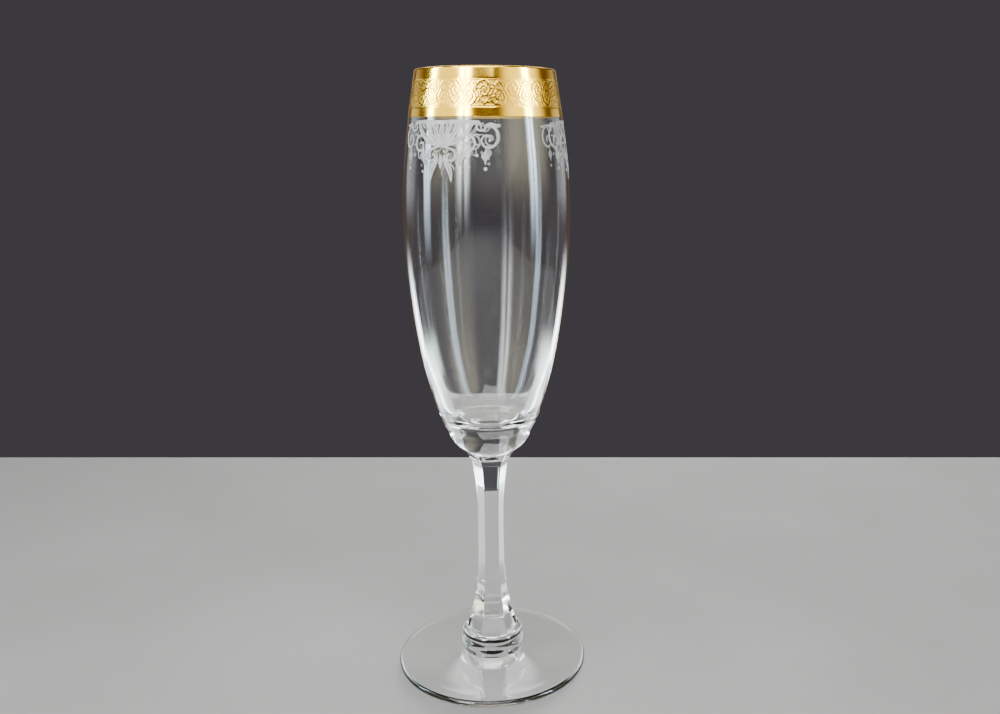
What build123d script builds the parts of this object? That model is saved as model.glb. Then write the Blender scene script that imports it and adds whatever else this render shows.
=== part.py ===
"""Champagne flute: a tall blown bowl fused to a six-sided pressed stem, which stands
on a rounded collar and a thin round foot. A fired-on gilt band covers the rim, and
three scrollwork transfers in white enamel hang below it.

Units are millimetres. +Z is up the flute's axis, and the origin is the centre of the
plane that the foot rests on. One facet of the stem faces -Y.
"""
from build123d import *
import os
from math import cos, hypot, pi, radians, sin

os.makedirs("parts", exist_ok=True)

# ---------------------------------------------------------------- driving dimensions
HEIGHT = 210.0            # foot plane to the top of the gilt rim
FOOT_RADIUS = 34.23
FOOT_EDGE = 2.48           # thickness of the foot at its rolled edge
FOOT_REST_INNER = 29.59    # flat ring that touches the table
FOOT_REST_OUTER = FOOT_RADIUS - FOOT_EDGE / 2
FOOT_HOLLOW = 1.15         # how far the underside is dished at its centre
FOOT_CROWN = 5.15          # height of the foot's top where the collar stands on it

COLLAR_TOP = 12.98         # plane where the stem is fused to the collar
COLLAR_RADIUS = 11.07

STEM_TOP = 81.14           # plane where the bowl is fused to the stem
STEM_FACETS = 6
STEM_END_RADIUS = 8.35    # round end that carries the bowl
FACET_RATIO = cos(pi / STEM_FACETS)

GILT = 0.12               # thickness of the fired gilt
GILT_BOTTOM = 195.11
GILT_INSIDE = 0.9         # how far the gilt laps down inside the lip
ENAMEL = 0.08             # thickness of the white enamel
ENAMEL_GAP = 0.012        # hairline between the enamel and the glass it is fired on
LIP_RADIUS = 0.65         # fire-polished lip, half the wall at the rim

LACE_COUNT = 3            # transfers round the bowl
LACE_FIRST = -36.0        # turn of the first one from -Y towards +X, in degrees
LACE_MEAN_RADIUS = 25.77

# ---------------------------------------------------------------- profiles (radius, z)
LIP_Z = HEIGHT - GILT - LIP_RADIUS
BOWL_OUTSIDE = [
    (STEM_END_RADIUS, STEM_TOP), (10.26, 82.52), (12.03, 84.14), (13.27, 85.91),
    (14.8, 89.15), (16.61, 92.88), (19.38, 100.42), (22.34, 111.2), (24.34, 121.7),
    (26.2, 135.35), (27.44, 149.0), (27.78, 162.18), (27.38, 175.16), (26.3, 186.52),
    (25.1, 195.2), (23.79, 203.32), (22.78, LIP_Z),
]
BOWL_INSIDE = [
    (22.78 - 2 * LIP_RADIUS, LIP_Z), (22.55, 203.32), (23.86, 195.2), (25.06, 186.52),
    (26.14, 175.16), (26.49, 162.18), (26.09, 149.0), (24.72, 135.35), (22.67, 121.7),
    (20.28, 111.2), (16.8, 101.18), (14.65, 96.41), (12.31, 93.88), (8.59, 92.69),
    (0.0, 92.21),
]
# Flare of the stem's corners, measured across the corners, from the collar up.
STEM_CORNERS = [
    (9.31, COLLAR_TOP), (8.78, 15.46), (8.16, 17.56), (7.25, 20.43), (6.25, 24.82),
    (5.49, 30.35), (4.96, 36.75), (4.73, 43.91), (4.68, 51.55), (4.77, 60.14),
    (5.15, 67.3), (5.82, 72.74), (6.54, 76.75), (7.64, 78.85), (10.4, STEM_TOP),
]
STEM_ROUND = [
    (9.93, COLLAR_TOP), (9.16, 16.23), (8.02, 21.0), (7.06, 28.64), (6.78, 42.95), (6.78, 57.27),
    (6.87, 68.73), (7.11, 75.41), (7.54, 78.75), (STEM_END_RADIUS, STEM_TOP),
]


def lerp_radius(profile, z):
    """Radius of a profile at a height, on straight runs between its points."""
    points = sorted((pz, pr) for pr, pz in profile)
    for (z0, r0), (z1, r1) in zip(points, points[1:]):
        if z0 <= z <= z1:
            return r0 + (r1 - r0) * (z - z0) / (z1 - z0)
    raise ValueError(z)


def offset_profile(profile, distance):
    """The profile moved out along its own normals."""
    out = []
    for i, (r, z) in enumerate(profile):
        r0, z0 = profile[max(i - 1, 0)]
        r1, z1 = profile[min(i + 1, len(profile) - 1)]
        dr, dz = r1 - r0, z1 - z0
        size = hypot(dr, dz)
        out.append((r + distance * dz / size, z - distance * dr / size))
    return out


# ---------------------------------------------------------------- bowl
with BuildPart() as bowl:
    with BuildSketch(Plane.XZ):
        with BuildLine():
            outside = Spline(*BOWL_OUTSIDE)
            lip = ThreePointArc(
                BOWL_OUTSIDE[-1],
                (BOWL_OUTSIDE[-1][0] - LIP_RADIUS, LIP_Z + LIP_RADIUS),
                BOWL_INSIDE[0],
            )
            inside = Spline(*BOWL_INSIDE, tangents=((-0.05, -1), (-1, 0)), tangent_scalars=(1, 1))
            Polyline(BOWL_INSIDE[-1], (0, STEM_TOP), BOWL_OUTSIDE[0])
        make_face()
    revolve(axis=Axis.Z)
bowl.part.label = "bowl"
export_step(bowl.part, "parts/bowl.step")

# ---------------------------------------------------------------- stem
# Three pairs of flared faces cut the hexagon, and a round envelope gives both ends
# their turned form, so that each facet runs out in an arch under the bowl.
FLATS = [(r * FACET_RATIO, z) for r, z in STEM_CORNERS]
with BuildPart() as stem:
    with BuildSketch(Plane.XZ):
        with BuildLine():
            Spline(*STEM_ROUND)
            Polyline(STEM_ROUND[-1], (0, STEM_TOP), (0, COLLAR_TOP), STEM_ROUND[0])
        make_face()
    revolve(axis=Axis.Z)
    for k in range(STEM_FACETS // 2):
        across = Plane(
            origin=(0, 0, 0),
            x_dir=(-sin(k * pi / 3), cos(k * pi / 3), 0),
            z_dir=(cos(k * pi / 3), sin(k * pi / 3), 0),
        )
        with BuildSketch(across.offset(-14)):
            with BuildLine():
                Spline(*FLATS)
                Line(FLATS[-1], (-FLATS[-1][0], FLATS[-1][1]))
                Spline(*[(-r, z) for r, z in FLATS])
                Line((-FLATS[0][0], FLATS[0][1]), FLATS[0])
            make_face()
        extrude(amount=28, mode=Mode.INTERSECT)
stem.part.label = "stem"
export_step(stem.part, "parts/stem.step")

# ---------------------------------------------------------------- stem collar
with BuildPart() as stem_collar:
    with BuildSketch(Plane.XZ):
        with BuildLine():
            Polyline((10.69, FOOT_CROWN), (0, FOOT_CROWN), (0, COLLAR_TOP), (9.45, COLLAR_TOP))
            Spline(
                (9.45, COLLAR_TOP), (10.45, 12.41), (10.98, 10.88), (COLLAR_RADIUS, 8.78),
                (10.98, 6.87), (10.69, FOOT_CROWN),
                tangents=((1, -0.12), (-0.25, -1)), tangent_scalars=(0.8, 1),
            )
        make_face()
    revolve(axis=Axis.Z)
stem_collar.part.label = "stem_collar"
export_step(stem_collar.part, "parts/stem_collar.step")

# ---------------------------------------------------------------- foot
with BuildPart() as foot:
    with BuildSketch(Plane.XZ):
        with BuildLine():
            Polyline((0, FOOT_HOLLOW), (0, FOOT_CROWN), (11.45, FOOT_CROWN))
            Spline(
                (11.45, FOOT_CROWN), (15.75, 4.34), (21.0, 3.58), (26.73, 2.96), (FOOT_REST_OUTER, FOOT_EDGE),
                tangents=((1, -0.28), (1, -0.06)),
            )
            ThreePointArc(
                (FOOT_REST_OUTER, FOOT_EDGE), (FOOT_RADIUS, FOOT_EDGE / 2), (FOOT_REST_OUTER, 0)
            )
            Line((FOOT_REST_OUTER, 0), (FOOT_REST_INNER, 0))
            Spline(
                (FOOT_REST_INNER, 0), (21.0, 0.69), (10.5, 1.05), (0, FOOT_HOLLOW),
                tangents=((-1, 0.12), (-1, 0)),
            )
        make_face()
    revolve(axis=Axis.Z)
foot.part.label = "foot"
export_step(foot.part, "parts/foot.step")

# ---------------------------------------------------------------- gilt band
gilt_out = offset_profile(BOWL_OUTSIDE, GILT)
gilt_core = offset_profile(BOWL_OUTSIDE, -0.5)
with BuildPart() as gold_band:
    with BuildSketch(Plane.XZ):
        with BuildLine():
            Spline(*gilt_out)
            ThreePointArc(
                gilt_out[-1],
                (BOWL_OUTSIDE[-1][0] - LIP_RADIUS, HEIGHT),
                (BOWL_INSIDE[0][0] - GILT, LIP_Z),
            )
            Polyline(
                (BOWL_INSIDE[0][0] - GILT, LIP_Z),
                (BOWL_INSIDE[0][0] - GILT + 0.03, LIP_Z - GILT_INSIDE),
                (BOWL_INSIDE[0][0] + 0.6, LIP_Z - GILT_INSIDE),
                gilt_core[-1],
            )
            Spline(*gilt_core)
            Line(gilt_core[0], gilt_out[0])
        make_face()
    revolve(axis=Axis.Z)
    with BuildSketch(Plane.XY.offset(STEM_TOP - 5)):
        Circle(40)
    extrude(amount=GILT_BOTTOM - STEM_TOP + 5, mode=Mode.SUBTRACT)
    add(bowl.part, mode=Mode.SUBTRACT)
gold_band.part.label = "gold_band"
export_step(gold_band.part, "parts/gold_band.step")

# ---------------------------------------------------------------- white enamel lace
# One transfer is drawn flat, as strokes with a width that swells and tapers, in arc
# length to the right of its centre line and height. Most strokes have a mirror twin.
def curve_through(points, per_span=5):
    """Points along a smooth curve through the given ones."""
    p = [points[0], *points, points[-1]]
    out = []
    for i in range(1, len(p) - 2):
        a, b, c, d = p[i - 1 : i + 3]
        for k in range(per_span):
            t = k / per_span
            out.append(tuple(
                0.5 * (2 * b[j] + (c[j] - a[j]) * t
                       + (2 * a[j] - 5 * b[j] + 4 * c[j] - d[j]) * t**2
                       + (3 * b[j] - a[j] - 3 * c[j] + d[j]) * t**3)
                for j in (0, 1)
            ))
    return [*out, points[-1]]


def stroke_sides(points, widths, per_span):
    """The two sides of a stroke, its width eased between the given ones."""
    line = curve_through(points, per_span)
    left, right = [], []
    for i, (u, z) in enumerate(line):
        u0, z0 = line[max(i - 1, 0)]
        u1, z1 = line[min(i + 1, len(line) - 1)]
        du, dz = u1 - u0, z1 - z0
        size = hypot(du, dz)
        t = i / (len(line) - 1) * (len(widths) - 1)
        k = min(int(t), len(widths) - 2)
        half = (widths[k] + (widths[k + 1] - widths[k]) * (t - k)) / 2
        left.append((u - dz / size * half, z + du / size * half))
        right.append((u + dz / size * half, z - du / size * half))
    return left, right


def on_bowl(u, z):
    """Where a point of the flat drawing lies when seen square to the transfer's middle."""
    return lerp_radius(BOWL_OUTSIDE, z) * sin(u / LACE_MEAN_RADIUS), z


MIDDLE_STROKES = [  # points, widths
    ([(-11.84, 193.3), (-5.92, 193.53), (0.0, 193.3), (5.92, 193.53), (11.84, 193.3)], (0.86, 1.15, 1.15, 1.15, 0.86)),
    ([(0.0, 186.14), (0.0, 188.52), (0.0, 190.91), (0.0, 193.39)], (0.67, 1.43, 1.72, 0.76)),
    ([(0.0, 183.27), (0.0, 181.94), (0.0, 180.7), (0.0, 179.45)], (0.67, 1.43, 1.15, 0.19)),
]
SIDE_STROKES = [
    # corner leaf, scroll and curl
    ([(13.94, 192.15), (15.65, 192.53), (17.18, 192.34), (18.71, 192.58)], (0.86, 1.43, 0.86, 0.14)),
    ([(15.94, 192.15), (17.04, 191.1), (17.61, 189.76), (17.61, 188.14), (16.7, 186.52), (15.18, 185.75),
      (13.65, 186.14), (12.79, 187.47), (13.17, 188.81), (14.41, 189.38), (15.37, 188.71), (15.18, 187.76)],
     (0.86, 1.0, 0.95, 0.81, 0.76, 0.91)),
    ([(14.6, 192.34), (13.75, 191.2), (12.41, 190.81), (11.26, 191.58), (11.45, 192.63), (12.41, 192.72), (12.6, 191.96)],
     (0.76, 0.76, 0.67, 0.76)),
    # pendant under the scroll
    ([(14.51, 186.04), (14.03, 184.99), (13.84, 183.65)], (0.67, 0.48, 0.57)),
    ([(13.84, 184.13), (13.84, 183.27), (13.84, 182.22), (13.84, 180.7)], (0.86, 2.58, 0.95, 0.14)),
    # palmette
    ([(0.19, 186.52), (1.62, 189.38), (3.53, 193.2)], (0.67, 1.81, 0.86)),
    ([(0.38, 186.42), (3.34, 188.9), (6.59, 193.2)], (0.76, 1.91, 0.86)),
    ([(0.48, 186.23), (4.58, 187.66), (8.21, 190.34), (9.93, 193.1)], (0.86, 1.91, 1.53, 0.76)),
    # scroll beside the palmette
    ([(6.11, 189.29), (8.5, 189.48), (10.31, 188.43), (10.69, 186.61), (9.64, 184.99), (8.02, 184.8),
      (7.06, 185.95), (7.54, 187.19), (8.69, 187.0)], (0.86, 1.05, 0.91, 0.81, 0.86)),
    # scroll below it
    ([(0.29, 186.33), (2.29, 185.66), (4.3, 184.9), (4.87, 183.27), (3.91, 181.94), (2.48, 182.13),
      (2.0, 183.27), (2.96, 183.75)], (0.95, 0.95, 0.91, 0.81, 0.76)),
    # leaves of the lower edge
    ([(7.16, 185.47), (6.87, 183.27), (6.11, 181.36), (5.06, 179.65)], (0.86, 1.81, 1.34, 0.19)),
    ([(1.24, 182.51), (2.48, 180.31), (3.34, 178.12), (3.63, 175.45)], (0.86, 2.0, 1.53, 0.14)),
]
DOTS = [(13.84, 179.45, 0.54), (11.36, 183.46, 0.48), (6.87, 178.5, 0.43)]  # u, z, radius

lace_out = offset_profile(BOWL_OUTSIDE, ENAMEL_GAP + ENAMEL)
lace_in = offset_profile(BOWL_OUTSIDE, ENAMEL_GAP)
with BuildPart() as lace_skin:
    with BuildSketch(Plane.XZ):
        with BuildLine():
            Spline(*lace_out)
            Line(lace_out[-1], lace_in[-1])
            Spline(*lace_in)
            Line(lace_in[0], lace_out[0])
        make_face()
    revolve(axis=Axis.Z)

facing = radians(LACE_FIRST - 90)
with BuildPart() as lace_motif:
    with BuildSketch(Plane(
        origin=(15 * cos(facing), 15 * sin(facing), 0),
        x_dir=(-sin(facing), cos(facing), 0),
        z_dir=(cos(facing), sin(facing), 0),
    )):
        strokes = [(points, widths, 1) for points, widths in MIDDLE_STROKES]
        strokes += [(points, widths, side) for points, widths in SIDE_STROKES for side in (1, -1)]
        for points, widths, side in strokes:
            left, right = stroke_sides(points, widths, 3)
            left = [on_bowl(side * u, z) for u, z in left]
            right = [on_bowl(side * u, z) for u, z in right]
            with BuildLine():
                Spline(*left)
                Line(left[-1], right[-1])
                Spline(*right)
                Line(right[0], left[0])
            make_face()
        for u, z, radius in DOTS:
            for side in (1, -1):
                with Locations(on_bowl(side * u, z)):
                    Ellipse(radius * cos(u / LACE_MEAN_RADIUS), radius)
    extrude(amount=20)
    add(lace_skin.part, mode=Mode.INTERSECT)

with BuildPart() as enamel_lace:
    with PolarLocations(0, LACE_COUNT):
        add(lace_motif.part)
enamel_lace.part.label = "enamel_lace"
export_step(enamel_lace.part, "parts/enamel_lace.step")

for item in (bowl, stem, stem_collar, foot, gold_band, enamel_lace):
    box = item.part.bounding_box()
    print(item.part.label, len(item.part.solids()), "solids, volume", round(item.part.volume, 1),
          "box", tuple(round(v, 2) for v in (*box.min, *box.max)))
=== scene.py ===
"""Looks for the champagne flute: clear glass bowl, six-sided stem, collar and foot, a fired
gilt band with an etched frieze, and white enamel scrollwork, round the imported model."""

import math

import bmesh
import bpy
import numpy as np
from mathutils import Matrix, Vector


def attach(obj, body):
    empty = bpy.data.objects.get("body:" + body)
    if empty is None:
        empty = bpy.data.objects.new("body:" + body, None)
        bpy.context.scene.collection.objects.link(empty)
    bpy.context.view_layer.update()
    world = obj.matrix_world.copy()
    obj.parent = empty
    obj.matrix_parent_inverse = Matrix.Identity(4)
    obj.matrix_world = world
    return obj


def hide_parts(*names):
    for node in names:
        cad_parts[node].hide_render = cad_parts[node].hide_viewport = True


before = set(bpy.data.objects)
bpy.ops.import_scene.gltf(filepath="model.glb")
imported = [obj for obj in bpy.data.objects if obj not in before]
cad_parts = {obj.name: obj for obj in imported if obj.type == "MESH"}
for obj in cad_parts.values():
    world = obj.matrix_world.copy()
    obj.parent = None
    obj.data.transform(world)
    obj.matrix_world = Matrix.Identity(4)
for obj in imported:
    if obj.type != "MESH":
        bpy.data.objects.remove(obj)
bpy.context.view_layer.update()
MM = 0.001
TURN = math.radians(-8.0)  # how far the camera and the table are turned round the flute


# ------------------------------------------------------------------ camera
def turned(x, y, z, angle=TURN):
    """A point of the camera's own ground frame, turned to the model's frame."""
    c, s = math.cos(angle), math.sin(angle)
    return Vector((c * x - s * y, s * x + c * y, z))


cam_data = bpy.data.cameras.new("camera")
cam = bpy.data.objects.new("camera", cam_data)
bpy.context.scene.collection.objects.link(cam)
cam_data.sensor_width = 36.0
cam_data.lens = 34.0
cam_data.shift_x = -0.042
cam_data.clip_start = 0.01
cam_data.clip_end = 20.0
cam.location = turned(0.01844, -0.31863, 0.18936)
cam.rotation_euler = (math.pi / 2 - 0.2304, 0.0, TURN)
bpy.context.scene.camera = cam


# ------------------------------------------------------------------ curves
def spline(points, count):
    """Points along the natural cubic spline through the given ones, by chord length."""
    p = np.asarray(points, float)
    t = np.concatenate([[0], np.cumsum(np.linalg.norm(np.diff(p, axis=0), axis=1))])
    n, h = len(t), np.diff(t)
    a, b = np.zeros((n, n)), np.zeros((n, p.shape[1]))
    a[0, 0] = a[-1, -1] = 1
    for i in range(1, n - 1):
        a[i, i - 1 : i + 2] = h[i - 1], 2 * (h[i - 1] + h[i]), h[i]
        b[i] = 6 * ((p[i + 1] - p[i]) / h[i] - (p[i] - p[i - 1]) / h[i - 1])
    m = np.linalg.solve(a, b)
    s = np.linspace(0, t[-1], count)
    k = np.clip(np.searchsorted(t, s, side="right") - 1, 0, n - 2)
    u, w = (s - t[k])[:, None], (t[k + 1] - s)[:, None]
    hk = h[k][:, None]
    return (
        m[k] * w**3 / (6 * hk)
        + m[k + 1] * u**3 / (6 * hk)
        + (p[k] / hk - m[k] * hk / 6) * w
        + (p[k + 1] / hk - m[k + 1] * hk / 6) * u
    )


def arc(centre, radius, start, end, count):
    """Points of an arc, angles in degrees from +r towards +z."""
    a = np.radians(np.linspace(start, end, count))
    return np.stack([centre[0] + radius * np.cos(a), centre[1] + radius * np.sin(a)], 1)


# ------------------------------------------------------------------ profiles, in mm (radius, z)
HEIGHT, GILT, LIP = 209.998, 0.12, 0.65
LIP_Z = HEIGHT - GILT - LIP
STEM_TOP, COLLAR_TOP, CROWN = 81.14, 12.98, 5.15
BOWL_OUTSIDE = [
    (8.35, STEM_TOP), (10.26, 82.52), (12.03, 84.14), (13.27, 85.91), (14.8, 89.15),
    (16.61, 92.88), (19.38, 100.42), (22.34, 111.2), (24.34, 121.7), (26.2, 135.35),
    (27.44, 149.0), (27.78, 162.18), (27.38, 175.16), (26.3, 186.52), (25.1, 195.2),
    (23.79, 203.32), (22.78, LIP_Z),
]
BOWL_INSIDE = [
    (22.78 - 2 * LIP, LIP_Z), (22.55, 203.32), (23.86, 195.2), (25.06, 186.52),
    (26.14, 175.16), (26.49, 162.18), (26.09, 149.0), (24.72, 135.35), (22.67, 121.7),
    (20.28, 111.2), (16.8, 101.18), (14.65, 96.41), (12.31, 93.88), (8.59, 92.69),
    (4.2, 92.28), (0.0, 92.21),
]
outside = spline(BOWL_OUTSIDE, 132)
inside = spline(BOWL_INSIDE, 120)
inside[-1, 0] = 0.0


def wall_radius(z):
    """Outside radius of the bowl at a height."""
    return np.interp(z, outside[:, 1], outside[:, 0])


# ------------------------------------------------------------------ mesh tools
def outward(verts, faces):
    """The faces, all turned over if they enclose a negative volume."""
    p = np.asarray(verts, float)
    fans = np.array([(f[0], b, c) for f in faces for b, c in zip(f[1:-1], f[2:])])
    volume = np.einsum("ij,ij->", p[fans[:, 0]], np.cross(p[fans[:, 1]], p[fans[:, 2]]))
    return faces if volume > 0 else [list(reversed(f)) for f in faces]


def make_object(name, verts, faces, materials, face_slots=None, sharp=None):
    mesh = bpy.data.meshes.new(name)
    faces = outward(verts, faces)
    mesh.from_pydata((np.asarray(verts) * MM).tolist(), [], faces)
    mesh.validate()
    mesh.polygons.foreach_set("use_smooth", [True] * len(mesh.polygons))
    if face_slots is not None:
        mesh.polygons.foreach_set("material_index", face_slots)
    for m in materials:
        mesh.materials.append(m)
    if sharp:
        wanted = {tuple(sorted(e)) for e in sharp}
        for e in mesh.edges:
            if tuple(sorted(e.vertices)) in wanted:
                e.use_edge_sharp = True
    mesh.update()
    ob = bpy.data.objects.new(name, mesh)
    bpy.context.scene.collection.objects.link(ob)
    return ob


def lathe(name, rows, steps, materials, slots=None, sharp_rows=(), loop=False):
    """A turned body. Each row is (radius, z), where the radius is a number or one for each
    step round; a zero radius is a pole. slots gives the material of each band of faces."""
    theta = np.linspace(0, 2 * math.pi, steps, endpoint=False) - math.pi / 2
    c, s = np.cos(theta), np.sin(theta)
    verts, index = [], []
    for r, z in rows:
        if np.ndim(r) == 0 and abs(r) < 1e-9:
            index.append([len(verts)] * steps)
            verts.append((0.0, 0.0, float(z)))
        else:
            index.append(list(range(len(verts), len(verts) + steps)))
            rr = np.broadcast_to(r, steps)
            zz = np.broadcast_to(z, steps)
            verts.extend(zip((rr * c).tolist(), (rr * s).tolist(), zz.tolist()))
    faces, face_slots, sharp = [], [], []
    bands = list(range(len(rows) - 1)) + ([len(rows) - 1] if loop else [])
    for k in bands:
        a, b = index[k], index[(k + 1) % len(rows)]
        slot = slots[k] if slots else 0
        for i in range(steps):
            j = (i + 1) % steps
            quad = [a[i], a[j], b[j], b[i]]
            face = [v for n, v in enumerate(quad) if v not in quad[:n]]
            faces.append(face)
            face_slots.append(slot)
    for k in sharp_rows:
        sharp += [(index[k][i], index[k][(i + 1) % steps]) for i in range(steps)]
    return make_object(name, verts, faces, materials, face_slots, sharp)


# ------------------------------------------------------------------ materials
def new_material(name):
    m = bpy.data.materials.new(name)
    m.use_nodes = True
    nt = m.node_tree
    nt.nodes.clear()
    out = nt.nodes.new("ShaderNodeOutputMaterial")
    return m, nt, out


def node(nt, kind, **inputs):
    n = nt.nodes.new(kind)
    for key, value in inputs.items():
        n.inputs[key.replace("_", " ")].default_value = value
    return n


def ramp(nt, source, stops):
    """A colour ramp on a value: stops are (position, value or colour)."""
    r = nt.nodes.new("ShaderNodeValToRGB")
    els = r.color_ramp.elements
    while len(els) < len(stops):
        els.new(0.5)
    for e, (pos, v) in zip(els, stops):
        e.position = pos
        e.color = (v, v, v, 1) if isinstance(v, (int, float)) else (*v, 1)
    nt.links.new(source, r.inputs["Fac"])
    return r.outputs["Color"]


def mix_colour(nt, factor, a, b):
    """One colour or the other by a factor. a and b are colour outputs or colours."""
    n = nt.nodes.new("ShaderNodeMix")
    n.data_type = "RGBA"
    colours = [i for i in n.inputs if i.type == "RGBA"]
    nt.links.new(factor, n.inputs[0])
    for socket, colour in zip(colours, (a, b)):
        if isinstance(colour, tuple):
            socket.default_value = (*colour, 1.0)
        else:
            nt.links.new(colour, socket)
    return next(o for o in n.outputs if o.type == "RGBA")


def maths(nt, operation, a, b):
    """A sum done on two values, each a number or an output."""
    n = nt.nodes.new("ShaderNodeMath")
    n.operation = operation
    for socket, value in zip(n.inputs, (a, b)):
        if isinstance(value, (int, float)):
            socket.default_value = value
        else:
            nt.links.new(value, socket)
    return n.outputs[0]


def glass_material(name, wave_scale, wave, tint):
    """Clear soda-lime glass: faint waviness from forming, and a thin uneven film of wear."""
    m, nt, out = new_material(name)
    p = node(nt, "ShaderNodeBsdfPrincipled", IOR=1.52, Transmission_Weight=1.0, Metallic=0.0)
    geo = nt.nodes.new("ShaderNodeTexCoord")
    wide = node(nt, "ShaderNodeTexNoise", Scale=wave_scale, Detail=1.0, Roughness=0.4)
    nt.links.new(geo.outputs["Object"], wide.inputs["Vector"])
    bump = node(nt, "ShaderNodeBump", Strength=wave, Distance=0.0004)
    nt.links.new(wide.outputs["Fac"], bump.inputs["Height"])
    nt.links.new(bump.outputs["Normal"], p.inputs["Normal"])
    film = node(nt, "ShaderNodeTexNoise", Scale=90.0, Detail=5.0, Roughness=0.65)
    nt.links.new(geo.outputs["Object"], film.inputs["Vector"])
    nt.links.new(ramp(nt, film.outputs["Fac"], [(0.45, 0.0), (0.8, 0.035)]), p.inputs["Roughness"])
    body = ramp(nt, wide.outputs["Fac"], [(0.2, tint), (0.9, tuple(min(1.0, v * 1.012) for v in tint))])
    nt.links.new(body, p.inputs["Base Color"])
    path = nt.nodes.new("ShaderNodeLightPath")  # light reaches the table through the glass
    through = node(nt, "ShaderNodeBsdfTransparent", Color=(0.85, 0.88, 0.87, 1.0))
    mix = nt.nodes.new("ShaderNodeMixShader")
    nt.links.new(path.outputs["Is Shadow Ray"], mix.inputs["Fac"])
    nt.links.new(p.outputs["BSDF"], mix.inputs[1])
    nt.links.new(through.outputs["BSDF"], mix.inputs[2])
    nt.links.new(mix.outputs["Shader"], out.inputs["Surface"])
    return m


def fused_material():
    """The faces where two glass pieces are fused: light passes them as if they weren't there."""
    m, nt, out = new_material("fused_joint")
    t = nt.nodes.new("ShaderNodeBsdfTransparent")
    nt.links.new(t.outputs["BSDF"], out.inputs["Surface"])
    return m


glass_bowl = glass_material("clear_glass_blown", 45.0, 0.10, (0.985, 0.995, 0.99))
glass_stem = glass_material("clear_glass_pressed", 120.0, 0.16, (0.98, 0.992, 0.988))
glass_foot = glass_material("clear_glass_foot", 60.0, 0.12, (0.982, 0.994, 0.99))
fused = fused_material()

# ------------------------------------------------------------------ bowl
lip_arc = arc((22.78 - LIP, LIP_Z), LIP, 0, 180, 14)[1:-1]
rows = [(0.0, STEM_TOP), *map(tuple, outside), *map(tuple, lip_arc), *map(tuple, inside)]
slots = [1] + [0] * (len(rows) - 2)
bowl = lathe("bowl_glass", rows, 192, [glass_bowl, fused], slots, sharp_rows=(1,))
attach(bowl, "root")
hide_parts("bowl")

# ------------------------------------------------------------------ stem
STEM_CORNERS = [
    (9.31, COLLAR_TOP), (8.78, 15.46), (8.16, 17.56), (7.25, 20.43), (6.25, 24.82),
    (5.49, 30.35), (4.96, 36.75), (4.73, 43.91), (4.68, 51.55), (4.77, 60.14),
    (5.15, 67.3), (5.82, 72.74), (6.54, 76.75), (7.64, 78.85), (10.4, STEM_TOP),
]
STEM_ROUND = [
    (9.93, COLLAR_TOP), (9.16, 16.23), (8.02, 21.0), (7.06, 28.64), (6.78, 42.95),
    (6.78, 57.27), (6.87, 68.73), (7.11, 75.41), (7.54, 78.75), (8.35, STEM_TOP),
]
corner_line, round_line = spline(STEM_CORNERS, 400), spline(STEM_ROUND, 400)
STEPS = 240
theta = np.linspace(0, 2 * math.pi, STEPS, endpoint=False) - math.pi / 2


def stem_section(z, edge=38.0):
    """The stem's radius all round at a height: a hexagon inside a round envelope, with
    corners eased as fire-polishing leaves them."""
    apothem = np.interp(z, corner_line[:, 1], corner_line[:, 0]) * math.cos(math.pi / 6)
    envelope = np.interp(z, round_line[:, 1], round_line[:, 0])
    total = np.full(STEPS, (1.0 / envelope) ** edge)
    for k in range(6):
        reach = np.cos(theta + math.pi / 2 - k * math.pi / 3)
        total += (np.clip(reach, 0, None) / apothem) ** edge
    return total ** (-1.0 / edge)


zs = np.concatenate([
    np.linspace(COLLAR_TOP, 24, 40)[:-1], np.linspace(24, 70, 60)[:-1], np.linspace(70, STEM_TOP, 46)
])
rows = [(0.0, COLLAR_TOP), *[(stem_section(z), z) for z in zs], (0.0, STEM_TOP)]
slots = [1] + [0] * (len(rows) - 3) + [1]
stem = lathe("stem_glass", rows, STEPS, [glass_stem, fused], slots, sharp_rows=(1, len(rows) - 2))
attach(stem, "root")
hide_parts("stem")

# ------------------------------------------------------------------ collar
collar_side = spline([
    (9.45, COLLAR_TOP), (9.95, 12.84), (10.45, 12.41), (10.98, 10.88), (11.07, 8.78), (10.98, 6.87), (10.69, CROWN),
], 44)
rows = [(0.0, COLLAR_TOP), (stem_section(COLLAR_TOP), COLLAR_TOP), *map(tuple, collar_side), (0.0, CROWN)]
slots = [1] + [0] * (len(rows) - 3) + [1]
collar = lathe("stem_collar_glass", rows, STEPS, [glass_stem, fused], slots, sharp_rows=(1, len(rows) - 2))
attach(collar, "root")
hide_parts("stem_collar")

# ------------------------------------------------------------------ foot
EDGE, REST_OUT, REST_IN = 2.48, 34.218 - 1.24, 29.59
top = spline([(11.45, CROWN), (15.75, 4.34), (21.0, 3.58), (26.73, 2.96), (REST_OUT, EDGE)], 44)
under = spline([(REST_IN, 0.0), (25.5, 0.36), (21.0, 0.69), (10.5, 1.05), (0.0, 1.15)], 30)
under[-1, 0] = 0.0
rolled = arc((REST_OUT, EDGE / 2), EDGE / 2, 90, -90, 22)[1:]
rows = [(0.0, CROWN), (10.69, CROWN), *map(tuple, top), *map(tuple, rolled), *map(tuple, under)]
slots = [1] + [0] * (len(rows) - 2)
foot = lathe("foot_glass", rows, STEPS, [glass_foot, fused], slots, sharp_rows=(1,))
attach(foot, "root")
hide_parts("foot")


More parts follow.
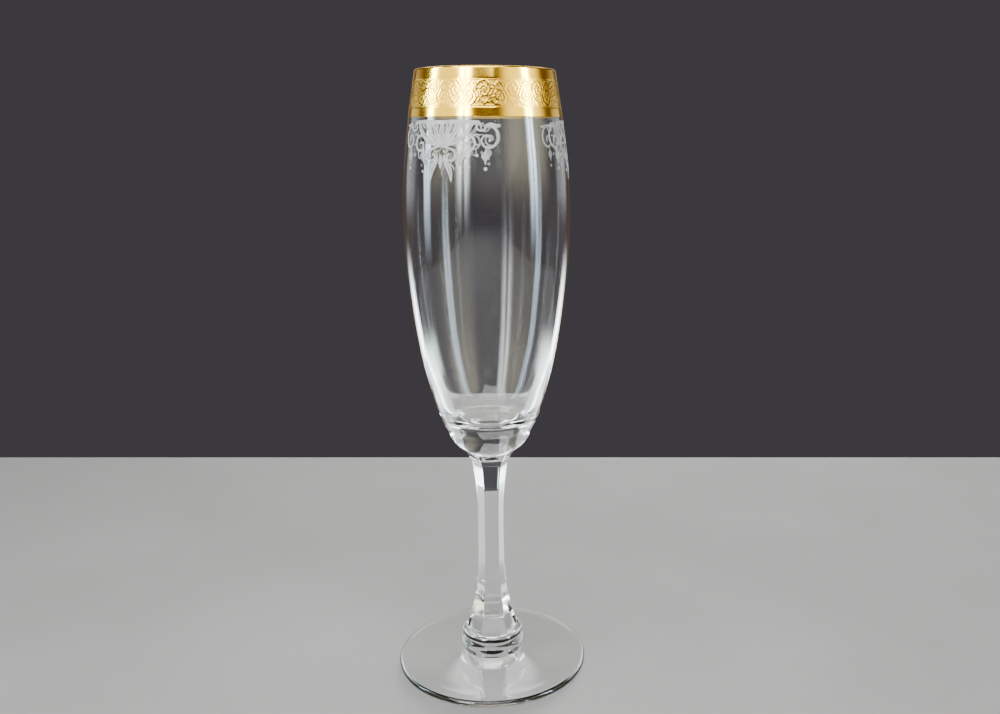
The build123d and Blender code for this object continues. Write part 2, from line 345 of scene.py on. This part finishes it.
# ------------------------------------------------------------------ scrollwork drawing
def curve_through(points, per_span=8):
    """Points along a smooth curve through the given ones."""
    p = [points[0], *points, points[-1]]
    out = []
    for i in range(1, len(p) - 2):
        a, b, c, d = (np.array(q, float) for q in p[i - 1 : i + 3])
        for k in range(per_span):
            t = k / per_span
            out.append(0.5 * (2 * b + (c - a) * t + (2 * a - 5 * b + 4 * c - d) * t**2 + (3 * b - a - 3 * c + d) * t**3))
    out.append(np.array(points[-1], float))
    return np.array(out)


def stroke_field(u, v, points, widths, field):
    """Lowers field, the distance outside the drawing, to the distance outside one stroke."""
    line = curve_through(points)
    w = np.interp(np.linspace(0, 1, len(line)), np.linspace(0, 1, len(widths)), widths) / 2
    reach = w.max() + 0.8
    near = (
        (u > line[:, 0].min() - reach) & (u < line[:, 0].max() + reach)
        & (v > line[:, 1].min() - reach) & (v < line[:, 1].max() + reach)
    )
    if not near.any():
        return
    x, y = u[near], v[near]
    best = field[near]
    for (x0, y0), (x1, y1), w0, w1 in zip(line[:-1], line[1:], w[:-1], w[1:]):
        dx, dy = x1 - x0, y1 - y0
        t = np.clip(((x - x0) * dx + (y - y0) * dy) / max(dx * dx + dy * dy, 1e-12), 0, 1)
        best = np.minimum(best, np.hypot(x - x0 - t * dx, y - y0 - t * dy) - (w0 + (w1 - w0) * t))
    field[near] = best


# ------------------------------------------------------------------ gilt band
GILT_BOTTOM, FRIEZE_LOW, FRIEZE_HIGH = 195.11, 197.75, 206.35
TILES = 17
TILE_STEPS = 54
RELIEF = 0.055


def wall_normal(z):
    """Outward normal of the bowl's wall at a height, as (radial, up)."""
    dr = wall_radius(z + 0.2) - wall_radius(z - 0.2)
    size = np.hypot(dr, 0.4)
    return 0.4 / size, -dr / size


def leaf_off(path, at, side, length, width):
    """A leaf that leaves a stem at a share of its length and curls away to one side."""
    i = int(at * (len(path) - 2))
    along = path[i + 1] - path[i]
    along = along / np.hypot(*along)
    across = np.array([-along[1], along[0]]) * side
    start = path[i]
    ribs = [start, start + length * (0.42 * along + 0.22 * across), start + length * (0.62 * along + 0.78 * across)]
    return [tuple(q) for q in ribs], (0.22, width, 0.08)


def frieze_field(u, v, period, height):
    """Distance outside a running leaf scroll that fills a band of this height."""
    field = np.full(u.shape, 9.0)
    q, mid = period / 4, height / 2
    vine = [(-q + k * q / 2, mid + 0.36 * height * math.sin(-math.pi / 2 + k * math.pi / 4)) for k in range(11)]
    scroll = [
        (-q * 0.28, mid - 0.5), (q * 0.02, 1.75), (q * 0.55, 0.85), (q * 1.15, 0.8), (q * 1.68, 1.75),
        (q * 1.72, 3.3), (q * 1.28, 4.75), (q * 0.8, 4.85), (q * 0.42, 3.95), (q * 0.5, 2.75), (q * 0.92, 2.2),
        (q * 1.3, 2.75), (q * 1.22, 3.6), (q * 0.92, 3.65),
    ]
    path = curve_through(scroll)
    strokes = [(scroll, (0.42, 0.5, 0.5, 0.45, 0.4, 0.34, 0.3))]
    for at, side, length, width in (
        (0.05, -1, 1.5, 0.62), (0.13, 1, 1.3, 0.55), (0.2, -1, 1.2, 0.55), (0.27, 1, 1.2, 0.5), (0.34, -1, 1.3, 0.6),
        (0.42, 1, 0.95, 0.45), (0.44, -1, 1.4, 0.6), (0.53, -1, 1.1, 0.5), (0.6, 1, 0.8, 0.4), (0.66, -1, 0.9, 0.42),
        (0.76, -1, 0.8, 0.4),
    ):
        strokes.append(leaf_off(path, at, side, length, width))
    strokes.append(([(q * 0.98, 3.1), (q * 1.0, 3.14)], (0.62, 0.62)))
    crest = curve_through([(x, y) for x, y in vine[2:7]])
    for at, side, length, width in (
        (0.18, 1, 1.3, 0.55), (0.3, -1, 1.0, 0.45), (0.42, 1, 1.1, 0.5), (0.66, 1, 1.1, 0.5), (0.84, 1, 1.4, 0.6),
        (0.9, -1, 1.1, 0.5),
    ):
        strokes.append(leaf_off(crest, at, side, length, width))
    for shift in (-period, 0.0, period):
        stroke_field(u, v, [(x + shift, y) for x, y in vine], (0.46, 0.46), field)
        for points, widths in strokes:
            stroke_field(u, v, [(x + shift, y) for x, y in points], widths, field)
            stroke_field(u, v, [(x + shift + period / 2, height - y) for x, y in points], widths, field)
    return field


frieze_height = FRIEZE_HIGH - FRIEZE_LOW
frieze_period = 2 * math.pi * 24.45 / TILES
z_low = np.linspace(GILT_BOTTOM, FRIEZE_LOW, 9)[:-1]
z_mid = np.linspace(FRIEZE_LOW, FRIEZE_HIGH, 56)
z_high = np.linspace(FRIEZE_HIGH, LIP_Z, 11)[1:]
tile_u = np.linspace(0, frieze_period, TILE_STEPS, endpoint=False)
uu, vv = np.meshgrid(tile_u, z_mid - FRIEZE_LOW)
leaf = frieze_field(uu, vv * 8.3 / frieze_height, frieze_period, 8.3)
raised = 1 / (1 + np.exp(leaf / 0.045))
rim = np.minimum(vv, frieze_height - vv)
raised = np.maximum(raised, 1 / (1 + np.exp((rim - 0.14) / 0.03)))
raised = np.maximum(raised, 1 / (1 + np.exp((np.abs(rim - 0.52) - 0.07) / 0.03)))
raised = np.tile(raised, (1, TILES))

rows, polish = [], []
gilt_steps = TILES * TILE_STEPS
ones = np.ones(gilt_steps)
for z in [*z_low, *z_mid, *z_high]:
    nr, nz = wall_normal(min(z, LIP_Z - 0.3))
    at = np.where(np.isclose(z_mid, z))[0]
    height = raised[at[0]] if len(at) else ones
    depth = GILT - RELIEF * (1 - height)
    rows.append((wall_radius(z) + depth * nr, z + 0 * ones))
    polish.append(height)
for r, z in arc((22.78 - LIP, LIP_Z), LIP + GILT, 0, 180, 13)[1:]:
    rows.append((r * ones, z * ones))
    polish.append(ones)
inner_at = lambda z: np.interp(z, inside[::-1, 1], inside[::-1, 0])
for z in (LIP_Z - 0.45, LIP_Z - 0.9):
    rows.append(((inner_at(z) - GILT) * ones, z * ones))
    polish.append(ones)
for z in (LIP_Z - 0.9, LIP_Z - 0.45):
    rows.append(((inner_at(z) - 0.02) * ones, z * ones))
    polish.append(ones * 0.6)
for r, z in arc((22.78 - LIP, LIP_Z), LIP + 0.02, 180, 0, 9):
    rows.append((r * ones, z * ones))
    polish.append(ones * 0.6)
for z in np.linspace(LIP_Z - 1.0, GILT_BOTTOM, 9):
    nr, nz = wall_normal(z)
    rows.append(((wall_radius(z) + 0.02 * nr) * ones, z * ones))
    polish.append(ones * 0.6)


def gilt_material():
    """Fired gold: mirror-bright on its borders and leaves, silky where the ground is etched."""
    m, nt, out = new_material("fired_gilt")
    p = node(nt, "ShaderNodeBsdfPrincipled", Metallic=1.0, IOR=1.45)
    where = nt.nodes.new("ShaderNodeTexCoord")
    lift = nt.nodes.new("ShaderNodeAttribute")
    lift.attribute_name = "polish"
    wear = node(nt, "ShaderNodeTexNoise", Scale=160.0, Detail=6.0, Roughness=0.6)
    nt.links.new(where.outputs["Object"], wear.inputs["Vector"])
    grain = node(nt, "ShaderNodeTexNoise", Scale=5200.0, Detail=2.0, Roughness=0.5)
    nt.links.new(where.outputs["Object"], grain.inputs["Vector"])
    dull = ramp(nt, wear.outputs["Fac"], [(0.3, (0.96, 0.58, 0.045)), (0.75, (1.0, 0.655, 0.075))])
    bright = ramp(nt, wear.outputs["Fac"], [(0.25, (1.0, 0.60, 0.035)), (0.8, (1.0, 0.68, 0.075))])
    nt.links.new(mix_colour(nt, lift.outputs["Fac"], dull, bright), p.inputs["Base Color"])
    rough = nt.nodes.new("ShaderNodeMapRange")
    rough.inputs["To Min"].default_value = 0.21
    rough.inputs["To Max"].default_value = 0.09
    nt.links.new(lift.outputs["Fac"], rough.inputs["Value"])
    smear = maths(nt, "MULTIPLY", wear.outputs["Fac"], 0.08)
    nt.links.new(maths(nt, "ADD", rough.outputs["Result"], smear), p.inputs["Roughness"])
    stipple = maths(nt, "MULTIPLY", maths(nt, "SUBTRACT", 1.0, lift.outputs["Fac"]), grain.outputs["Fac"])
    bump = node(nt, "ShaderNodeBump", Strength=0.35, Distance=0.00004)
    nt.links.new(stipple, bump.inputs["Height"])
    nt.links.new(bump.outputs["Normal"], p.inputs["Normal"])
    nt.links.new(p.outputs["BSDF"], out.inputs["Surface"])
    return m


gilt_rows = len(rows)
outer_count = len(z_low) + len(z_mid) + len(z_high)
gilt = lathe(
    "gilt_band", [(r, z) for r, z in rows], gilt_steps, [gilt_material()], loop=True,
    sharp_rows=(0, outer_count + 12 + 1, outer_count + 12 + 2, gilt_rows - 1),
)
layer = gilt.data.attributes.new("polish", "FLOAT", "POINT")
layer.data.foreach_set("value", np.concatenate(polish).astype(np.float32))
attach(gilt, "root")
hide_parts("gold_band")

# ------------------------------------------------------------------ white enamel scrollwork
LACE_COUNT, LACE_FIRST, LACE_RADIUS = 3, math.radians(-36.0), 25.77
MIDDLE = [
    ([(-11.84, 193.3), (-5.92, 193.53), (0.0, 193.3), (5.92, 193.53), (11.84, 193.3)], (0.86, 1.15, 1.15, 1.15, 0.86)),
    ([(0.0, 186.14), (0.0, 188.52), (0.0, 190.91), (0.0, 193.39)], (0.67, 1.43, 1.72, 0.76)),
    ([(0.0, 183.27), (0.0, 181.94), (0.0, 180.7), (0.0, 179.45)], (0.67, 1.43, 1.15, 0.19)),
]
SIDES = [
    ([(13.94, 192.15), (15.65, 192.53), (17.18, 192.34), (18.71, 192.58)], (0.86, 1.43, 0.86, 0.14)),
    ([(15.94, 192.15), (17.04, 191.1), (17.61, 189.76), (17.61, 188.14), (16.7, 186.52), (15.18, 185.75),
      (13.65, 186.14), (12.79, 187.47), (13.17, 188.81), (14.41, 189.38), (15.37, 188.71), (15.18, 187.76)],
     (0.86, 1.0, 0.95, 0.81, 0.76, 0.91)),
    ([(14.6, 192.34), (13.75, 191.2), (12.41, 190.81), (11.26, 191.58), (11.45, 192.63), (12.41, 192.72), (12.6, 191.96)],
     (0.76, 0.76, 0.67, 0.76)),
    ([(14.51, 186.04), (14.03, 184.99), (13.84, 183.65)], (0.67, 0.48, 0.57)),
    ([(13.84, 184.13), (13.84, 183.27), (13.84, 182.22), (13.84, 180.7)], (0.86, 2.58, 0.95, 0.14)),
    ([(0.19, 186.52), (1.62, 189.38), (3.53, 193.2)], (0.67, 1.81, 0.86)),
    ([(0.38, 186.42), (3.34, 188.9), (6.59, 193.2)], (0.76, 1.91, 0.86)),
    ([(0.48, 186.23), (4.58, 187.66), (8.21, 190.34), (9.93, 193.1)], (0.86, 1.91, 1.53, 0.76)),
    ([(6.11, 189.29), (8.5, 189.48), (10.31, 188.43), (10.69, 186.61), (9.64, 184.99), (8.02, 184.8),
      (7.06, 185.95), (7.54, 187.19), (8.69, 187.0)], (0.86, 1.05, 0.91, 0.81, 0.86)),
    ([(0.29, 186.33), (2.29, 185.66), (4.3, 184.9), (4.87, 183.27), (3.91, 181.94), (2.48, 182.13),
      (2.0, 183.27), (2.96, 183.75)], (0.95, 0.95, 0.91, 0.81, 0.76)),
    ([(7.16, 185.47), (6.87, 183.27), (6.11, 181.36), (5.06, 179.65)], (0.86, 1.81, 1.34, 0.19)),
    ([(1.24, 182.51), (2.48, 180.31), (3.34, 178.12), (3.63, 175.45)], (0.86, 2.0, 1.53, 0.14)),
]
DOTS = [(13.84, 179.45, 0.54), (11.36, 183.46, 0.48), (6.87, 178.5, 0.43)]
FILL = [
    ([(1.5, 190.6), (1.75, 191.8), (1.9, 193.1)], (0.14, 0.6, 0.5)),
    ([(3.9, 190.9), (4.5, 192.0), (5.0, 193.2)], (0.14, 0.7, 0.55)),
    ([(6.6, 191.3), (7.4, 192.2), (8.2, 193.2)], (0.14, 0.7, 0.55)),
    ([(5.2, 186.7), (6.0, 187.6), (6.1, 188.7)], (0.3, 0.5, 0.2)),
    ([(0.9, 184.9), (1.7, 184.4), (2.3, 184.9)], (0.4, 0.42, 0.3)),
    ([(1.15, 183.6), (1.2, 182.6), (0.95, 181.7)], (0.35, 0.5, 0.2)),
    ([(3.0, 180.9), (4.1, 180.2), (4.6, 179.0)], (0.45, 0.42, 0.2)),
    ([(5.4, 184.2), (6.0, 183.4), (5.9, 182.5)], (0.4, 0.45, 0.25)),
    ([(8.6, 185.2), (9.3, 184.2), (9.2, 183.0), (8.4, 182.4), (7.9, 183.0), (8.3, 183.6)], (0.4, 0.4, 0.34, 0.34)),
    ([(10.3, 189.3), (11.2, 189.7), (12.2, 189.5)], (0.4, 0.38, 0.3)),
    ([(10.8, 187.0), (11.7, 186.5), (12.4, 186.6)], (0.4, 0.38, 0.3)),
]
VEINS = [
    ([(0.0, 187.6), (0.0, 190.2), (0.0, 192.0)], (0.16, 0.22, 0.1)),
    ([(1.2, 188.5), (2.0, 190.2), (2.9, 191.9)], (0.12, 0.22, 0.1)),
    ([(2.2, 188.0), (3.6, 189.4), (5.6, 191.9)], (0.12, 0.22, 0.1)),
    ([(3.0, 187.2), (5.2, 188.3), (7.8, 190.5)], (0.12, 0.22, 0.1)),
    ([(1.9, 181.3), (2.9, 179.3), (3.35, 177.6)], (0.12, 0.2, 0.1)),
    ([(7.0, 183.9), (6.6, 182.4), (6.0, 181.1)], (0.12, 0.18, 0.1)),
]
CELL = 0.145
us = np.arange(-19.5, 19.5 + CELL / 2, CELL)
zs = np.arange(174.9, 194.9, CELL)
uu, vv = np.meshgrid(us, zs)
lace = np.full(uu.shape, 9.0)
for points, widths in MIDDLE:
    stroke_field(uu, vv, points, widths, lace)
for points, widths in SIDES:
    fine = [w * (0.74 if len(points) > 6 else 0.9) for w in widths]
    stroke_field(uu, vv, points, fine, lace)
    stroke_field(uu, vv, [(-x, y) for x, y in points], fine, lace)
for points, widths in FILL:
    stroke_field(uu, vv, points, widths, lace)
    stroke_field(uu, vv, [(-x, y) for x, y in points], widths, lace)
for x, y, r in DOTS:
    for side in (1, -1):
        lace = np.minimum(lace, np.hypot(uu - side * x, vv - y) - r)
veins = np.full(uu.shape, 9.0)
for points, widths in VEINS:
    stroke_field(uu, vv, points, widths, veins)
    stroke_field(uu, vv, [(-x, y) for x, y in points], widths, veins)
lace = np.maximum(lace, -veins)


def outlined(xs, ys, field):
    """Polygons that fill where field is below zero, cut along its zero line, and their points."""
    points, index, polys = [], {}, []

    def corner(i, j):
        key = (i, j)
        if key not in index:
            index[key] = len(points)
            points.append((xs[j], ys[i]))
        return index[key]

    def crossing(i0, j0, i1, j1):
        key = (i0, j0, i1, j1) if (i0, j0) < (i1, j1) else (i1, j1, i0, j0)
        if key not in index:
            a, b = field[key[0], key[1]], field[key[2], key[3]]
            t = min(max(a / (a - b), 0.04), 0.96)
            index[key] = len(points)
            points.append((
                xs[key[1]] + t * (xs[key[3]] - xs[key[1]]), ys[key[0]] + t * (ys[key[2]] - ys[key[0]])
            ))
        return index[key]

    inside_ = field < 0
    busy = inside_[:-1, :-1] | inside_[1:, :-1] | inside_[:-1, 1:] | inside_[1:, 1:]
    for i, j in zip(*np.nonzero(busy)):
        ring = [(i, j), (i, j + 1), (i + 1, j + 1), (i + 1, j)]
        state = [bool(inside_[q]) for q in ring]
        if all(state):
            polys.append([corner(*q) for q in ring])
            continue
        poly, parts = [], []
        if state[0] == state[2] and state[1] == state[3] and state[0] != state[1]:
            for k in range(4):  # two corners in, across from each other: two separate pieces
                if state[k]:
                    parts.append([
                        crossing(*ring[k - 1], *ring[k]), corner(*ring[k]),
                        crossing(*ring[k], *ring[(k + 1) % 4]),
                    ])
        else:
            for k in range(4):
                if state[k]:
                    poly.append(corner(*ring[k]))
                if state[k] != state[(k + 1) % 4]:
                    poly.append(crossing(*ring[k], *ring[(k + 1) % 4]))
            parts.append(poly)
        polys += [q for q in parts if len(q) >= 3]
    return np.array(points), polys


flat, polys = outlined(us, zs, lace)
edge_uses = {}
for poly in polys:
    for a, b in zip(poly, poly[1:] + poly[:1]):
        edge_uses[(a, b)] = edge_uses.get((a, b), 0) + 1
border = [(a, b) for a, b in edge_uses if (b, a) not in edge_uses]
verts, faces = [], []
count = len(flat)
for k in range(LACE_COUNT):
    turn = LACE_FIRST + 2 * math.pi * k / LACE_COUNT - math.pi / 2
    base = len(verts)
    for offset in (0.088, 0.016):
        r = wall_radius(flat[:, 1]) + offset
        a = turn + flat[:, 0] / LACE_RADIUS
        verts += zip((r * np.cos(a)).tolist(), (r * np.sin(a)).tolist(), flat[:, 1].tolist())
    faces += [[base + i for i in poly] for poly in polys]
    faces += [[base + count + i for i in reversed(poly)] for poly in polys]
    faces += [[base + b, base + a, base + count + a, base + count + b] for a, b in border]


def enamel_material():
    """Thin white enamel, screened on: it lets a little light by, in fine uneven specks."""
    m, nt, out = new_material("white_enamel")
    p = node(nt, "ShaderNodeBsdfPrincipled", Roughness=0.55, IOR=1.5)
    where = nt.nodes.new("ShaderNodeTexCoord")
    cloud = node(nt, "ShaderNodeTexNoise", Scale=320.0, Detail=5.0, Roughness=0.62)
    nt.links.new(where.outputs["Object"], cloud.inputs["Vector"])
    speck = node(nt, "ShaderNodeTexNoise", Scale=3200.0, Detail=2.0, Roughness=0.5)
    nt.links.new(where.outputs["Object"], speck.inputs["Vector"])
    nt.links.new(
        ramp(nt, cloud.outputs["Fac"], [(0.3, (0.72, 0.73, 0.73)), (0.7, (0.90, 0.91, 0.90))]),
        p.inputs["Base Color"],
    )
    nt.links.new(ramp(nt, speck.outputs["Fac"], [(0.3, 0.42), (0.7, 0.68)]), p.inputs["Roughness"])
    bump = node(nt, "ShaderNodeBump", Strength=0.4, Distance=0.00004)
    nt.links.new(speck.outputs["Fac"], bump.inputs["Height"])
    nt.links.new(bump.outputs["Normal"], p.inputs["Normal"])
    clear = nt.nodes.new("ShaderNodeBsdfTransparent")
    mix = nt.nodes.new("ShaderNodeMixShader")
    nt.links.new(ramp(nt, cloud.outputs["Fac"], [(0.3, 0.58), (0.65, 0.86)]), mix.inputs["Fac"])
    nt.links.new(clear.outputs["BSDF"], mix.inputs[1])
    nt.links.new(p.outputs["BSDF"], mix.inputs[2])
    nt.links.new(mix.outputs["Shader"], out.inputs["Surface"])
    return m


lace_ob = make_object("enamel_scrollwork", verts, faces, [enamel_material()])
lace_ob.data.polygons.foreach_set("use_smooth", [False] * len(lace_ob.data.polygons))
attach(lace_ob, "root")
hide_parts("enamel_lace")

# ------------------------------------------------------------------ table, backdrop and light
def table_top():
    """A plain pale table with an eased edge. The flute stands near its far edge."""
    bm = bmesh.new()
    bmesh.ops.create_cube(bm, size=1.0)
    for v in bm.verts:
        x, y, z = v.co
        v.co = turned(x * 1.3, -0.8365 + (y * 2.127), -0.01505 + z * 0.03)
    bmesh.ops.bevel(bm, geom=list(bm.edges), offset=0.004, segments=4, affect="EDGES")
    mesh = bpy.data.meshes.new("table")
    bm.to_mesh(mesh)
    bm.free()
    mesh.polygons.foreach_set("use_smooth", [True] * len(mesh.polygons))
    ob = bpy.data.objects.new("table", mesh)
    bpy.context.scene.collection.objects.link(ob)
    m, nt, out = new_material("table_pale")
    p = node(nt, "ShaderNodeBsdfPrincipled", Roughness=0.8, Specular_IOR_Level=0.12)
    where = nt.nodes.new("ShaderNodeTexCoord")
    n = node(nt, "ShaderNodeTexNoise", Scale=14.0, Detail=6.0)
    nt.links.new(where.outputs["Object"], n.inputs["Vector"])
    nt.links.new(ramp(nt, n.outputs["Fac"], [(0.3, (0.505, 0.50, 0.49)), (0.7, (0.555, 0.55, 0.54))]), p.inputs["Base Color"])
    nt.links.new(p.outputs["BSDF"], out.inputs["Surface"])
    mesh.materials.append(m)
    return ob


table_top()

world = bpy.data.worlds.new("studio")
bpy.context.scene.world = world
world.use_nodes = True
background = world.node_tree.nodes["Background"]
background.inputs["Color"].default_value = (0.052, 0.048, 0.055, 1)
background.inputs["Strength"].default_value = 1.0
sky = world.node_tree  # the room is warmer and lighter where it is mirrored, as it is behind a photographer
seen = sky.nodes.new("ShaderNodeLightPath")
mirrored = maths(
    sky, "MULTIPLY", seen.outputs["Is Glossy Ray"], maths(sky, "LESS_THAN", seen.outputs["Transmission Depth"], 0.5)
)
sky.links.new(mix_colour(sky, mirrored, (0.052, 0.048, 0.055), (0.14, 0.085, 0.05)), background.inputs["Color"])


def soft_light(name, azimuth, distance, low, high, width, radiance, colour, core=0.22, tail=0.35, behind=False, bar=0.0):
    """An upright soft panel that only makes highlights. azimuth is in degrees from the
    camera's side, to its right. It is brightest down its middle and fades to its edges.
    It isn't seen straight through the glass. One that is behind lights the glass's edges,
    so it is hidden only from rays that cross both walls of the bowl. A bar is a darker
    upright down its middle, such as a window has, given as a share of its width."""
    data = bpy.data.lights.new(name, "AREA")
    data.shape = "RECTANGLE"
    data.size = width
    data.size_y = high - low
    data.energy = radiance * math.pi * width * (high - low)
    data.color = colour
    data.use_nodes = True
    nt = data.node_tree
    glow = next(n for n in nt.nodes if n.type == "EMISSION")
    place = nt.nodes.new("ShaderNodeNewGeometry")
    apart = nt.nodes.new("ShaderNodeSeparateXYZ")
    nt.links.new(place.outputs["Parametric"], apart.inputs["Vector"])
    off = maths(nt, "ABSOLUTE", maths(nt, "SUBTRACT", apart.outputs["X"], 0.5), 0.0)
    across = nt.nodes.new("ShaderNodeMapRange")
    across.interpolation_type = "SMOOTHSTEP"
    across.inputs["From Min"].default_value = core / 2
    across.inputs["From Max"].default_value = 0.5
    across.inputs["To Min"].default_value = 1.0
    across.inputs["To Max"].default_value = 0.0
    nt.links.new(off, across.inputs["Value"])
    up = maths(nt, "ABSOLUTE", maths(nt, "SUBTRACT", apart.outputs["Y"], 0.5), 0.0)
    ends = nt.nodes.new("ShaderNodeMapRange")
    ends.interpolation_type = "SMOOTHSTEP"
    ends.inputs["From Min"].default_value = 0.5 - tail
    ends.inputs["From Max"].default_value = 0.5
    ends.inputs["To Min"].default_value = 1.0
    ends.inputs["To Max"].default_value = 0.0
    nt.links.new(up, ends.inputs["Value"])
    shape = maths(nt, "MULTIPLY", across.outputs["Result"], ends.outputs["Result"])
    if bar:
        upright = nt.nodes.new("ShaderNodeMapRange")
        upright.interpolation_type = "SMOOTHSTEP"
        upright.inputs["From Min"].default_value = bar * 0.25
        upright.inputs["From Max"].default_value = bar * 0.75
        upright.inputs["To Min"].default_value = 0.35
        upright.inputs["To Max"].default_value = 1.0
        nt.links.new(off, upright.inputs["Value"])
        shape = maths(nt, "MULTIPLY", shape, upright.outputs["Result"])
    path = nt.nodes.new("ShaderNodeLightPath")  # the table takes no light from it, even through the glass
    direct = maths(nt, "LESS_THAN", path.outputs["Diffuse Depth"], 0.5)
    seen_through = maths(
        nt, "MULTIPLY", maths(nt, "GREATER_THAN", path.outputs["Transmission Depth"], 2.5 if behind else 0.5),
        maths(nt, "LESS_THAN", path.outputs["Glossy Depth"], 0.5),
    )
    direct = maths(nt, "MULTIPLY", direct, maths(nt, "SUBTRACT", 1.0, seen_through))
    nt.links.new(maths(nt, "MULTIPLY", maths(nt, "MULTIPLY", shape, shape), direct), glow.inputs["Strength"])
    ob = bpy.data.objects.new(name, data)
    bpy.context.scene.collection.objects.link(ob)
    a = math.radians(azimuth + 3.3) + TURN
    ob.location = (distance * math.sin(a), -distance * math.cos(a), (low + high) / 2)
    facing = Vector((-math.sin(a), math.cos(a), 0.0))
    ob.rotation_euler = facing.to_track_quat("-Z", "Y").to_euler()
    ob.visible_camera = False
    ob.visible_diffuse = False
    return ob


soft_light("panel_left", -88, 0.9, -0.15, 1.2, 0.24, 66.0, (0.66, 0.83, 1.0), core=0.25, tail=0.42, bar=0.18)
soft_light("panel_front_left", -32, 1.1, -0.10, 1.5, 0.56, 46.0, (0.94, 0.98, 1.0), core=0.2, tail=0.42, bar=0.14)
soft_light("panel_right", 67, 0.9, -0.15, 1.2, 0.27, 66.0, (0.70, 0.86, 1.0), core=0.2, tail=0.42, bar=0.16)
soft_light("fill_left", -60, 1.3, -0.1, 1.5, 2.4, 2.1, (1.0, 0.93, 0.66), core=0.35)
soft_light("fill_right", 60, 1.3, -0.1, 1.5, 2.8, 2.5, (1.0, 0.93, 0.66), core=0.3)
soft_light("fill_back", 180, 1.5, 0.0, 1.5, 2.2, 0.5, (1.0, 0.92, 0.75), core=0.3)
soft_light("high_back", 180, 1.2, 0.95, 1.5, 2.2, 5.0, (1.0, 0.99, 0.97), core=0.6, tail=0.3)
soft_light("side_left", -128, 1.0, 0.0, 0.50, 0.7, 0.8, (0.92, 0.97, 1.0), core=0.5, behind=True)
soft_light("side_right", 128, 1.0, 0.0, 0.50, 0.7, 0.8, (0.92, 0.97, 1.0), core=0.5, behind=True)
soft_light("rim_left", -143, 0.9, -0.55, 0.08, 0.42, 8.0, (0.85, 0.97, 1.0), core=0.5, behind=True)
soft_light("rim_right", 143, 0.9, -0.55, 0.08, 0.42, 8.0, (0.90, 0.98, 1.0), core=0.5, behind=True)
soft_light("card_left", -112, 0.13, 0.004, 0.094, 0.15, 11.0, (0.80, 1.0, 0.98), core=0.5, tail=0.4, behind=True)
soft_light("card_right", 112, 0.13, 0.004, 0.094, 0.15, 10.0, (0.90, 0.98, 1.0), core=0.5, tail=0.4, behind=True)
soft_light("stem_left", -116, 0.075, 0.001, 0.075, 0.07, 5.0, (0.88, 0.98, 1.0), core=0.5, tail=0.10)
soft_light("stem_right", 116, 0.075, 0.001, 0.075, 0.07, 5.0, (0.92, 0.98, 1.0), core=0.5, tail=0.10)

key = bpy.data.lights.new("overhead", "AREA")
key.shape = "RECTANGLE"
key.size, key.size_y = 1.6, 1.4
key.energy = 42.0
key_ob = bpy.data.objects.new("overhead", key)
bpy.context.scene.collection.objects.link(key_ob)
key_ob.location = turned(-0.2, -0.75, 1.25)
key_ob.rotation_euler = (Vector((0, 0, 0.05)) - key_ob.location).to_track_quat("-Z", "Y").to_euler()
key_ob.visible_camera = False
back = bpy.data.lights.new("overhead_back", "AREA")  # keeps the far side's enamel white
back.shape = "RECTANGLE"
back.size, back.size_y = 1.0, 0.5
back.energy = 11.0
back_ob = bpy.data.objects.new("overhead_back", back)
bpy.context.scene.collection.objects.link(back_ob)
back_ob.location = turned(0.25, 1.15, 0.42)
back_ob.rotation_euler = (Vector((0, 0, 0.15)) - back_ob.location).to_track_quat("-Z", "Y").to_euler()
back_ob.visible_camera = back_ob.visible_glossy = back_ob.visible_transmission = False
